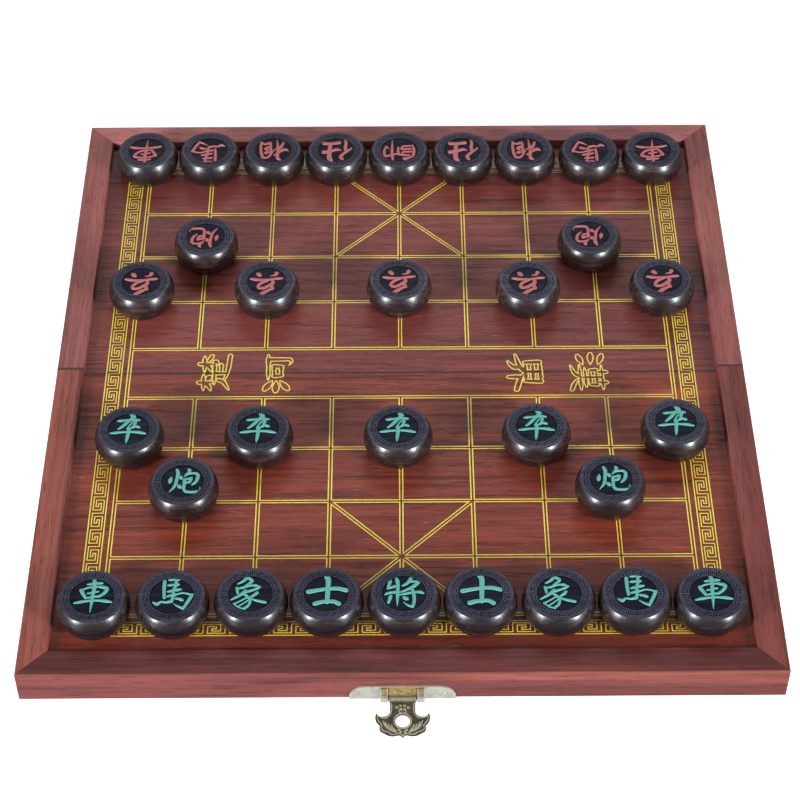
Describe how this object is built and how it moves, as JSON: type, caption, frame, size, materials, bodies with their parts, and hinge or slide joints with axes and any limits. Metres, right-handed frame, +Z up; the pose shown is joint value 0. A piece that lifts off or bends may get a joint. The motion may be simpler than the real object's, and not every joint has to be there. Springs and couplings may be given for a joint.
{
  "type": "folding xiangqi board box",
  "caption": "Folding wooden xiangqi box lying open as a playing board, with turned pieces set out, butt hinges and a brass hasp and staple.",
  "frame": {"origin": "on the table, under the middle of the open object's box", "axes": "+X right along the seam between the trays, +Y away from the front player, +Z up"},
  "size_m": [0.4036, 0.4748, 0.037],
  "materials": {
    "rosewood_end_rail": "rubbed oil, grain along X",
    "rosewood_side_rail": "rubbed oil, grain along Y",
    "rosewood_hinge_rail": "rubbed oil, grain along X",
    "rosewood_board": "rubbed oil, painted gold lines",
    "ebony_green": "waxed, green painted character",
    "ebony_red": "waxed, red painted character",
    "plate_brass": "pale, brushed",
    "antique_brass": "patinated, rubbed bright on the edges",
    "hinge_brass": "satin",
    "fastener_brass": "satin"
  },
  "bodies": {
    "front_tray": {"front_board_panel": "rosewood_board", "front_end_rail": "rosewood_end_rail", "front_hinge_rail": "rosewood_hinge_rail", "front_left_rail": "rosewood_side_rail", "front_right_rail": "rosewood_side_rail", "hinge_screws_front": "fastener_brass", "latch_nails": "fastener_brass", "latch_pin": "fastener_brass", "latch_plate": "plate_brass", "left_hinge_front_leaf": "hinge_brass", "left_hinge_pin": "hinge_brass", "right_hinge_front_leaf": "hinge_brass", "right_hinge_pin": "hinge_brass"},
    "back_tray": {"back_board_panel": "rosewood_board", "back_end_rail": "rosewood_end_rail", "back_hinge_rail": "rosewood_hinge_rail", "back_left_rail": "rosewood_side_rail", "back_right_rail": "rosewood_side_rail", "hinge_screws_back": "fastener_brass", "left_hinge_back_leaf": "hinge_brass", "right_hinge_back_leaf": "hinge_brass", "strike_nails": "fastener_brass", "strike_plate": "plate_brass", "strike_staple": "plate_brass"},
    "hasp": {"hasp": "antique_brass"},
    "green_advisor_left": {"green_advisor_left": "ebony_green"},
    "green_advisor_right": {"green_advisor_right": "ebony_green"},
    "green_cannon_left": {"green_cannon_left": "ebony_green"},
    "green_cannon_right": {"green_cannon_right": "ebony_green"},
    "green_chariot_left": {"green_chariot_left": "ebony_green"},
    "green_chariot_right": {"green_chariot_right": "ebony_green"},
    "green_elephant_left": {"green_elephant_left": "ebony_green"},
    "green_elephant_right": {"green_elephant_right": "ebony_green"},
    "green_general": {"green_general": "ebony_green"},
    "green_horse_left": {"green_horse_left": "ebony_green"},
    "green_horse_right": {"green_horse_right": "ebony_green"},
    "green_soldier_1": {"green_soldier_1": "ebony_green"},
    "green_soldier_2": {"green_soldier_2": "ebony_green"},
    "green_soldier_3": {"green_soldier_3": "ebony_green"},
    "green_soldier_4": {"green_soldier_4": "ebony_green"},
    "green_soldier_5": {"green_soldier_5": "ebony_green"},
    "red_advisor_left": {"red_advisor_left": "ebony_red"},
    "red_advisor_right": {"red_advisor_right": "ebony_red"},
    "red_cannon_left": {"red_cannon_left": "ebony_red"},
    "red_cannon_right": {"red_cannon_right": "ebony_red"},
    "red_chariot_left": {"red_chariot_left": "ebony_red"},
    "red_chariot_right": {"red_chariot_right": "ebony_red"},
    "red_elephant_left": {"red_elephant_left": "ebony_red"},
    "red_elephant_right": {"red_elephant_right": "ebony_red"},
    "red_general": {"red_general": "ebony_red"},
    "red_horse_left": {"red_horse_left": "ebony_red"},
    "red_horse_right": {"red_horse_right": "ebony_red"},
    "red_soldier_1": {"red_soldier_1": "ebony_red"},
    "red_soldier_2": {"red_soldier_2": "ebony_red"},
    "red_soldier_3": {"red_soldier_3": "ebony_red"},
    "red_soldier_4": {"red_soldier_4": "ebony_red"},
    "red_soldier_5": {"red_soldier_5": "ebony_red"}
  },
  "joints": [
    {"name": "box_fold", "type": "hinge", "parent": "front_tray", "child": "back_tray", "pos_m": [0, 0.0095, 0.0015], "axis": [-1, 0, 0], "range_deg": [0, 180]},
    {"name": "hasp_swing", "type": "hinge", "parent": "front_tray", "child": "hasp", "pos_m": [0, -0.2146, 0.0032], "axis": [-1, 0, 0], "range_deg": [-85.99, 94]},
    {"name": "green_general_lift", "type": "slide", "parent": "front_tray", "child": "green_general", "axis": [0, 0, 1], "range_m": [0, 0.03]},
    {"name": "green_advisor_left_lift", "type": "slide", "parent": "front_tray", "child": "green_advisor_left", "axis": [0, 0, 1], "range_m": [0, 0.03]},
    {"name": "green_advisor_right_lift", "type": "slide", "parent": "front_tray", "child": "green_advisor_right", "axis": [0, 0, 1], "range_m": [0, 0.03]},
    {"name": "green_elephant_left_lift", "type": "slide", "parent": "front_tray", "child": "green_elephant_left", "axis": [0, 0, 1], "range_m": [0, 0.03]},
    {"name": "green_elephant_right_lift", "type": "slide", "parent": "front_tray", "child": "green_elephant_right", "axis": [0, 0, 1], "range_m": [0, 0.03]},
    {"name": "green_horse_left_lift", "type": "slide", "parent": "front_tray", "child": "green_horse_left", "axis": [0, 0, 1], "range_m": [0, 0.03]},
    {"name": "green_horse_right_lift", "type": "slide", "parent": "front_tray", "child": "green_horse_right", "axis": [0, 0, 1], "range_m": [0, 0.03]},
    {"name": "green_chariot_left_lift", "type": "slide", "parent": "front_tray", "child": "green_chariot_left", "axis": [0, 0, 1], "range_m": [0, 0.03]},
    {"name": "green_chariot_right_lift", "type": "slide", "parent": "front_tray", "child": "green_chariot_right", "axis": [0, 0, 1], "range_m": [0, 0.03]},
    {"name": "green_cannon_left_lift", "type": "slide", "parent": "front_tray", "child": "green_cannon_left", "axis": [0, 0, 1], "range_m": [0, 0.03]},
    {"name": "green_cannon_right_lift", "type": "slide", "parent": "front_tray", "child": "green_cannon_right", "axis": [0, 0, 1], "range_m": [0, 0.03]},
    {"name": "green_soldier_1_lift", "type": "slide", "parent": "front_tray", "child": "green_soldier_1", "axis": [0, 0, 1], "range_m": [0, 0.03]},
    {"name": "green_soldier_2_lift", "type": "slide", "parent": "front_tray", "child": "green_soldier_2", "axis": [0, 0, 1], "range_m": [0, 0.03]},
    {"name": "green_soldier_3_lift", "type": "slide", "parent": "front_tray", "child": "green_soldier_3", "axis": [0, 0, 1], "range_m": [0, 0.03]},
    {"name": "green_soldier_4_lift", "type": "slide", "parent": "front_tray", "child": "green_soldier_4", "axis": [0, 0, 1], "range_m": [0, 0.03]},
    {"name": "green_soldier_5_lift", "type": "slide", "parent": "front_tray", "child": "green_soldier_5", "axis": [0, 0, 1], "range_m": [0, 0.03]},
    {"name": "red_general_lift", "type": "slide", "parent": "back_tray", "child": "red_general", "axis": [0, 0, 1], "range_m": [0, 0.03]},
    {"name": "red_advisor_left_lift", "type": "slide", "parent": "back_tray", "child": "red_advisor_left", "axis": [0, 0, 1], "range_m": [0, 0.03]},
    {"name": "red_advisor_right_lift", "type": "slide", "parent": "back_tray", "child": "red_advisor_right", "axis": [0, 0, 1], "range_m": [0, 0.03]},
    {"name": "red_elephant_left_lift", "type": "slide", "parent": "back_tray", "child": "red_elephant_left", "axis": [0, 0, 1], "range_m": [0, 0.03]},
    {"name": "red_elephant_right_lift", "type": "slide", "parent": "back_tray", "child": "red_elephant_right", "axis": [0, 0, 1], "range_m": [0, 0.03]},
    {"name": "red_horse_left_lift", "type": "slide", "parent": "back_tray", "child": "red_horse_left", "axis": [0, 0, 1], "range_m": [0, 0.03]},
    {"name": "red_horse_right_lift", "type": "slide", "parent": "back_tray", "child": "red_horse_right", "axis": [0, 0, 1], "range_m": [0, 0.03]},
    {"name": "red_chariot_left_lift", "type": "slide", "parent": "back_tray", "child": "red_chariot_left", "axis": [0, 0, 1], "range_m": [0, 0.03]},
    {"name": "red_chariot_right_lift", "type": "slide", "parent": "back_tray", "child": "red_chariot_right", "axis": [0, 0, 1], "range_m": [0, 0.03]},
    {"name": "red_cannon_left_lift", "type": "slide", "parent": "back_tray", "child": "red_cannon_left", "axis": [0, 0, 1], "range_m": [0, 0.03]},
    {"name": "red_cannon_right_lift", "type": "slide", "parent": "back_tray", "child": "red_cannon_right", "axis": [0, 0, 1], "range_m": [0, 0.03]},
    {"name": "red_soldier_1_lift", "type": "slide", "parent": "back_tray", "child": "red_soldier_1", "axis": [0, 0, 1], "range_m": [0, 0.03]},
    {"name": "red_soldier_2_lift", "type": "slide", "parent": "back_tray", "child": "red_soldier_2", "axis": [0, 0, 1], "range_m": [0, 0.03]},
    {"name": "red_soldier_3_lift", "type": "slide", "parent": "back_tray", "child": "red_soldier_3", "axis": [0, 0, 1], "range_m": [0, 0.03]},
    {"name": "red_soldier_4_lift", "type": "slide", "parent": "back_tray", "child": "red_soldier_4", "axis": [0, 0, 1], "range_m": [0, 0.03]},
    {"name": "red_soldier_5_lift", "type": "slide", "parent": "back_tray", "child": "red_soldier_5", "axis": [0, 0, 1], "range_m": [0, 0.03]}
  ]
}
